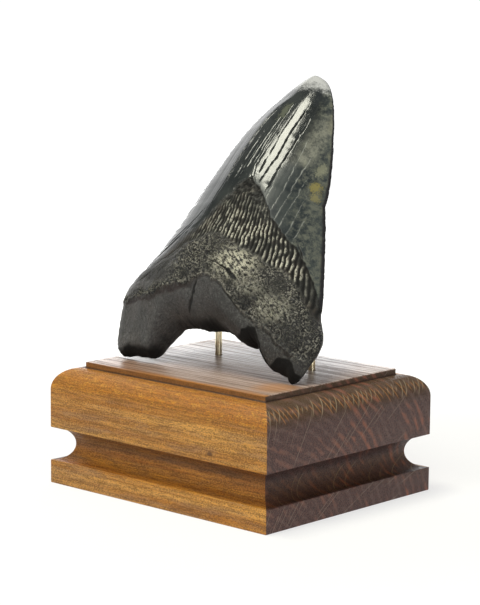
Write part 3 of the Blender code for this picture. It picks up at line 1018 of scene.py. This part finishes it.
def enamel_colour(g, at):
    """Dark blue-grey, mottled olive and tan towards the right edge, with a painted highlight at the
    tip.
    """
    x, w = at.x, at.w
    tan = w.spread(84, 96) * at.patches.spread(0.45, 0.6) * 0.6
    spots = at.spots.spread(0.55, 0.62) * w.spread(60, 90) * 0.7
    olive = at.mottle.spread(0.41, 0.6).mix(*OLIVE_ENAMEL)
    olive = coated(olive, (tan, TAN_MOTTLE), (spots, DARK_SPOT))
    glossy = at.patches.spread(0.35, 0.65).mix(*GLOSSY_ENAMEL)
    dull = at.patches.spread(0.4, 0.6).mix(*DULL_ENAMEL)
    # Paler enamel beside crack B, fading to the right: partly its own tone, partly painted spill of
    # the highlight.
    pale_side_and_spill = x.spread(10, 12) * x.spread(23, 15) * w.spread(93, 100)
    pale_side_and_spill *= w.spread(130, 118) * at.mottle.spread(0.32, 0.6, 0.25, 1) * at.dull
    # The pale tip is a painted highlight.
    tip = w + at.mottle.swing(14) + at.specks.swing(8)
    crown = coated(
        at.dull.mix(glossy, dull),
        ((at.across + at.mottle.swing(0.8)).spread(0.66, 0.95), olive),
        (pale_side_and_spill, PALE_SIDE_AND_HIGHLIGHT_SPILL),
        (tip.spread(134, 141), TIP_PAINTED_HIGHLIGHT),
    )
    ragged = at.mottle.swing(3.2) + at.specks.swing(2.4)
    for patch, tint, strength in ENAMEL_PATCHES:
        near = (from_patch(g, at, patch) + ragged).spread(1.3, 0.4, 0, strength)
        crown = near.mix(crown, tint)
    return coated(
        crown,
        (at.across.spread(0.965, 0.985), THIN_EDGE),
        (at.streaks.spread(0.62, 0.72, 0, 0.2), ENAMEL_STREAK),
        # Pale hairlines: painted reflection.
        (at.hairline * 0.8, HAIRLINE_PAINTED_REFLECTION),
    )


def band_colour(at):
    """Near black, with a warm brown cast in places, painted shade in the valleys and a painted
    highlight on the broken crests.
    """
    crests = at.crests * at.specks.spread(0.36, 0.5) * at.w.spread(80, 60, 0.12, 1)
    crests *= at.warm.spread(0.36, 0.56, 0.5, 1) * at.x.spread(-12, 8, 0.4, 1)
    band = at.warm.spread(0.45, 0.7).mix(*RIBBED_BAND)
    return coated(band, (at.valleys, RIB_VALLEY_PAINTED_SHADE), (crests, RIB_CREST_PAINTED_HIGHLIGHT))


def smooth_root_colour(g, at):
    """Grey with fine scratches and pits, and dark lines across the left shoulder."""
    shoulder = at.x.spread(-10, -20) * at.w.spread(28, 35)
    lines = slanted_noise(g, at, 0.6, 0.075, 1.3, 3, 0.65).spread(0.46, 0.56)
    return coated(
        at.warm.spread(0.35, 0.7).mix(*SMOOTH_ROOT),
        (at.x.spread(-8, 18), SMOOTH_ROOT_RIGHT),
        (at.scratches.spread(0.54, 0.66, 0, 0.7), PALE_SCRATCH),
        (at.scratches.spread(0.46, 0.34, 0, 0.7), DARK_SCRATCH),
        (shoulder * 0.6, LEFT_SHOULDER),
        (shoulder * 0.75, lines.mix(*SHOULDER_LINES)),
        (at.pits.spread(0.55, 0.7), DARK_PIT),
        (at.pits.spread(0.42, 0.3), PALE_PIT_RIM),
    )


def gritty_root_colour(g, at):
    """Black and grey grains, the pale ones partly painted glints, with cream patches of painted
    highlight and a rim of pale flakes.
    """
    # Pale specks: grey grains and painted glints.
    clumps = at.clumps.spread(0.36, 0.62, 0.25, 1)
    root = (at.specks.spread(0.51, 0.6) * clumps).mix(*GRIT_AND_PAINTED_GLINTS)
    downhill = slanted_noise(g, at, -0.6, 0.35, 0.9, 3, 0.7)
    grains = g.node("Mix", {0: 0.6, 2: at.grains, 3: downhill}).spread(0.46, 0.54)
    # Cream patches: painted highlight where the grit catches the light.
    for patch, strength in CREAM_HIGHLIGHT_PATCHES:
        near = from_patch(g, at, patch).spread(1.5, 0.4, 0, strength)
        root = (near * grains).mix(root, CREAM_PAINTED_HIGHLIGHT)
    return (at.flaky * at.grains.spread(0.4, 0.55, 0, 0.8)).mix(root, PALE_FLAKE)


def fossil_roughness(g, at):
    """Polished enamel, duller to the right, over a satin root and matt hollows."""
    satin = at.gritty.pick(at.fine.spread(0.3, 0.7, 0.34, 0.5), 0.24)
    satin = g.math("MAXIMUM", at.broken, at.valleys).pick(satin, 1)
    glossy = at.dull.pick(at.streaks.spread(0.35, 0.7, 0.1, 0.16), 0.42)
    return at.enamel.pick(satin, at.cracked.pick(glossy, 0.9))


def fossil_relief(g, at):
    """Grains on the gritty root and half as high on the band, and faint streaks on enamel."""
    on_band = 1 - g.math("MAXIMUM", at.root, at.enamel)
    coarse = at.grains * (at.gritty + on_band * 0.5) * 1.3
    return at.enamel.pick(coarse + at.fine * 0.4, at.streaks * 0.03)


def wood_material():
    """Solid wood with its grain along X, and rings and rays about a pith below the front.

    In the functions below, at holds the place on the base, what lies there and the noises.
    """
    g = Graph(bpy.data.materials.new("base_wood"))
    x, y, z = g.split(g.position())
    at = SimpleNamespace(x=x, y=y, z=z, **g.noises(WOOD_NOISES, g.position))
    out, above = y - PITH[0], z - PITH[1]
    at.radius = g.length(out, above)
    at.angle = g.math("ARCTAN2", above, out)
    at.ring = at.radius + at.sway * 4
    from_end = BASE_WIDTH / MM / 2 - abs(x)
    from_side = BASE_DEPTH / MM / 2 - abs(y)
    at.inset = g.math("MINIMUM", from_end, from_side)
    at.top_streaks = g.noise(g.combine(x * 0.012, y), 1, 4, 0.75)
    at.pores = (at.short_pores * 0.65 + at.long_pores * 0.35).spread(0.44, 0.56)
    on_top = z.spread(PLATFORM_TOP / MM - 0.45, PLATFORM_TOP / MM - 0.25)
    on_end = (from_side - from_end).spread(-0.2, 0.3) * (1 - on_top)
    colour = on_top.mix(long_grain_colour(g, at), platform_colour(g, at))
    colour = on_end.mix(colour, end_grain_colour(g, at))
    top_roughness = at.top_streaks.spread(0.43, 0.56, 0.3, 0.52)
    sunk = at.pores * on_top.pick(1, 0.05)
    return g.shade(
        Base_Color=painted_shade_in_hollows(at, colour),
        Roughness=on_top.pick(at.pores.pick(0.34, 0.6), top_roughness),
        Normal=g.bump(1 - sunk, 0.05),
        Specular_IOR_Level=0.5,
    )


def long_grain_colour(g, at):
    """Golden brown with dense short pores, more orange over the roundover, and one knot."""
    bands = g.noise(g.combine(at.ring, at.x * 0.02), 4, 4, 0.65)
    gold = at.figure.spread(0.5, 0.64) * at.z.spread(38, 46, 0.15, 0.5)
    from_knot = g.length((at.x - KNOT[0]) * 0.6, at.z - KNOT[1])
    return coated(
        bands.spread(0.36, 0.64).mix(*LONG_GRAIN),
        (at.mottle.spread(0.42, 0.68, 0, 0.6), BROWN_FIGURE),
        (at.z.spread(39, 45, 0, 0.8), ORANGE_ROUNDOVER),
        (gold, GOLD_FIGURE),
        (from_knot.spread(1.3, 0.4, 0, 0.8) * at.y.spread(-50, -52), DARK_KNOT),
        (at.z.spread(50.9, 51.4), RED_RISER),
        (at.pores * 0.72, DARK_PORE),
    )


def platform_colour(g, at):
    """Grey-brown in long streaks, browner at the front left, golden along the front and in a patch
    painted as the right lobe's reflection.
    """
    front = -(BASE_DEPTH - 2 * PLATFORM_INSET) / MM / 2
    edge = at.y + at.mottle.swing(9)
    left = edge.spread(front + 30, front + 5) * at.x.spread(5, -45, 0, 0.8)
    # A golden patch: painted reflection of the right lobe, where the top loses its glare.
    corner_x, corner_y = LOBE_REFLECTION_PLACE
    corner = g.length(at.x - corner_x, at.y - corner_y) + at.mottle.swing(12)
    return coated(
        at.top_streaks.spread(0.42, 0.56).mix(*PLATFORM),
        (edge.spread(front + 5, front - 1), PLATFORM_FRONT),
        (left, at.top_streaks.spread(0.44, 0.54).mix(*PLATFORM_BROWN)),
        (corner.spread(13, 3, 0, 0.6), LOBE_REFLECTION_PATCH),
    )


def end_grain_colour(g, at):
    """Dark purple-brown, crossed by grey and orange ring arcs, thin pale rays and flecks."""
    arc = g.math("PINGPONG", at.ring + at.patches * 1.2, 2.1)
    gaps = g.noise(g.combine(at.ring * 0.3, at.angle * 14), 1)
    arcs = arc.spread(0.6, 2) * gaps.spread(0.38, 0.55)
    orange = at.cloud.spread(0.42, 0.58) * arcs * at.y.spread(-30, 20, 0.3, 0.8)
    return coated(
        at.speckle.spread(0.35, 0.7).mix(*END_GRAIN),
        (at.z.spread(39, 47, 0, 0.8), END_GRAIN_TOP),
        (arcs * 0.4, GREY_ARC),
        (orange, ORANGE_ARC),
        (wood_rays(g, at), PALE_RAY),
        (wood_flecks(g, at, 0.16) * 0.75, ORANGE_FLECK),
        (wood_flecks(g, at, -0.2) * 0.6, PALE_FLECK),
    )


def wood_rays(g, at):
    """1 on thin straight lines from the pith, each shown over part of its length."""
    cell, _, off = g.scattered_lines(at.angle * RAY_COUNT, 0.2)
    away = off * (at.radius / RAY_COUNT)
    shown = g.noise(g.combine(cell * 7.3, at.radius * 0.03), 1)
    return away.spread(0.2, 0) * shown.spread(0.48, 0.6, 0, 0.8)


def wood_flecks(g, at, slant):
    """1 on short slanting flecks along the top of the end sides."""
    _, chance, off = g.scattered_lines(at.y / FLECK_SPACING + at.z * slant, 0.3)
    above_foot = (at.z - chance.pick(46.5, 42.5)).spread(0, 2)
    below_top = (chance.pick(48.5, 50.8) - at.z).spread(0, 1)
    return off.spread(0.12, 0.03) * (above_foot * below_top)


def painted_shade_in_hollows(at, colour):
    """Painted shade under the cove's upper lip and along its floor, which it also makes more
    golden, and a painted shadow at the platform's foot.
    """
    inside = at.inset.spread(0.5, 1.6) * at.z.spread(27, 25.5)
    upper = inside * at.z.spread(COVE_HEIGHT / MM - 1, COVE_HEIGHT / MM + 2.5)
    # Painted shade under the lip and along the cove's floor.
    colour = (upper * 0.85).mix(colour, UPPER_COVE_PAINTED_SHADE, "MULTIPLY")
    colour = (inside * (1 - upper) * 0.8).mix(colour, LOWER_COVE_PAINTED_SHADE, "MULTIPLY")
    # A dark line at the platform's foot: painted shadow.
    foot = abs(at.z - (LEDGE_HEIGHT / MM + 0.1)).spread(0.6, 0.1) * at.inset.spread(9.6, 10.3)
    return (foot * 0.85).mix(colour, LEDGE_PAINTED_SHADOW)


def brass_material():
    g = Graph(bpy.data.materials.new("brass"))
    noise = SimpleNamespace(**g.noises(BRASS_NOISES, g.position))
    return g.shade(
        Base_Color=noise.tarnish.spread(0.4, 0.7).mix(*BRASS),
        Roughness=noise.scratches.spread(0.3, 0.7, 0.14, 0.26),
        Normal=g.bump(noise.scratches, 0.03, 0.5),
        Metallic=1,
    )


# ---- Stage, camera and lights ----


def make_floor():
    """Pale to the camera, dimmed near the base as painted shadow, and dimmer as a source of light
    on the object.
    """
    g = Graph(bpy.data.materials.new("pale_floor"))
    x, y, _ = g.split(g.position())
    # Dimmer near the base: painted shadow.
    glow = g.length(x, y).spread(*FLOOR_PAINTED_SHADOW_REACH, FLOOR_GLOW_IN_PAINTED_SHADOW, 1)
    material = g.shade(
        Base_Color=FLOOR_COLOUR,
        Roughness=0.9,
        Specular_IOR_Level=0,
        Emission_Color=WHITE,
        Emission_Strength=g.seen().pick(FLOOR_GLOW_UNSEEN, glow),
    )
    bm = bmesh.new()
    bmesh.ops.create_circle(bm, cap_ends=True, segments=64, radius=FLOOR_RADIUS)
    floor = add_piece("floor", mesh_from(bm, "floor"), material)
    floor.location.z = -FLOOR_DROP


def facing(azimuth, elevation):
    """The direction at these angles in radians: azimuth 0 is -Y and a quarter turn is +X."""
    level = math.cos(elevation)
    return Vector((math.sin(azimuth) * level, -math.cos(azimuth) * level, math.sin(elevation)))


def looking(place, back):
    """The pose of a camera or panel at a place, with this direction at its back and no roll."""
    level = Vector((0, 0, 1)).cross(back).normalized()
    turned = Matrix((level, back.cross(level), back)).transposed().to_4x4()
    return Matrix.Translation(place) @ turned


def make_camera():
    camera = bpy.data.cameras.new("reference_view")
    camera.sensor_width = SENSOR_WIDTH_MM
    camera.lens = FOCAL_PIXELS * SENSOR_WIDTH_MM / max(FRAME_WIDTH, FRAME_HEIGHT)
    holder = placed("reference_view", camera)
    pose = looking(CAMERA_LOCATION, facing(CAMERA_AZIMUTH, CAMERA_ELEVATION))
    holder.matrix_world = pose @ Matrix.Rotation(CAMERA_ROLL, 4, "Z")
    bpy.context.scene.camera = holder


def make_lights():
    """Panels aimed at the tooth, each with its width level and its face of the given brightness."""
    for name, (azimuth, elevation, distance, size, radiance, colour) in LIGHTS.items():
        lamp = bpy.data.lights.new(name, "AREA")
        lamp.shape = "RECTANGLE"
        lamp.size, lamp.size_y = size
        lamp.energy = radiance * math.pi * size[0] * size[1]
        lamp.color = colour
        holder = placed(name, lamp)
        towards = facing(math.radians(azimuth), math.radians(elevation))
        holder.matrix_world = looking(LIT_POINT + towards * distance, towards)
        holder.visible_camera = False


def make_world():
    """White to the camera. As a light it is bright low down behind the tooth, and dim elsewhere."""
    world = bpy.data.worlds.new("studio")
    bpy.context.scene.world = world
    g = Graph(world)
    place = g.node("TexCoord", {}, "Generated")
    middle = facing(*map(math.radians, WALL_MIDDLE))
    near = g.node("VectorMath", {0: place, 1: middle}, "Value", operation="DOT_PRODUCT")
    start, end = (math.cos(math.radians(angle)) for angle in WALL_REACH)
    glow = near.spread(end, start, DIM_LIGHT, WALL_LIGHT)
    light = g.node("Background", {"Color": WHITE, "Strength": glow})
    seen = g.node("Background", {"Color": WHITE})
    both = g.node("MixShader", {0: g.seen(), 1: light, 2: seen})
    g.feed(g.tree.nodes["World Output"].inputs["Surface"], both)


def main():
    bpy.context.scene.view_settings.view_transform = "Standard"
    make_camera()
    make_world()
    make_lights()
    make_floor()
    tooth = add_piece("fossil_tooth", tooth_mesh(), fossil_material())
    base = make_base(wood_material())
    brass = brass_material()
    replaced = {tooth: ("tooth", "fossil"), base: ("base", "base_wood")}
    for node in PINS:
        replaced[make_pin(node, brass)] = (node, "brass")
    for piece, (node, slot) in replaced.items():
        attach(piece, "root")
        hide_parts(node)


main()
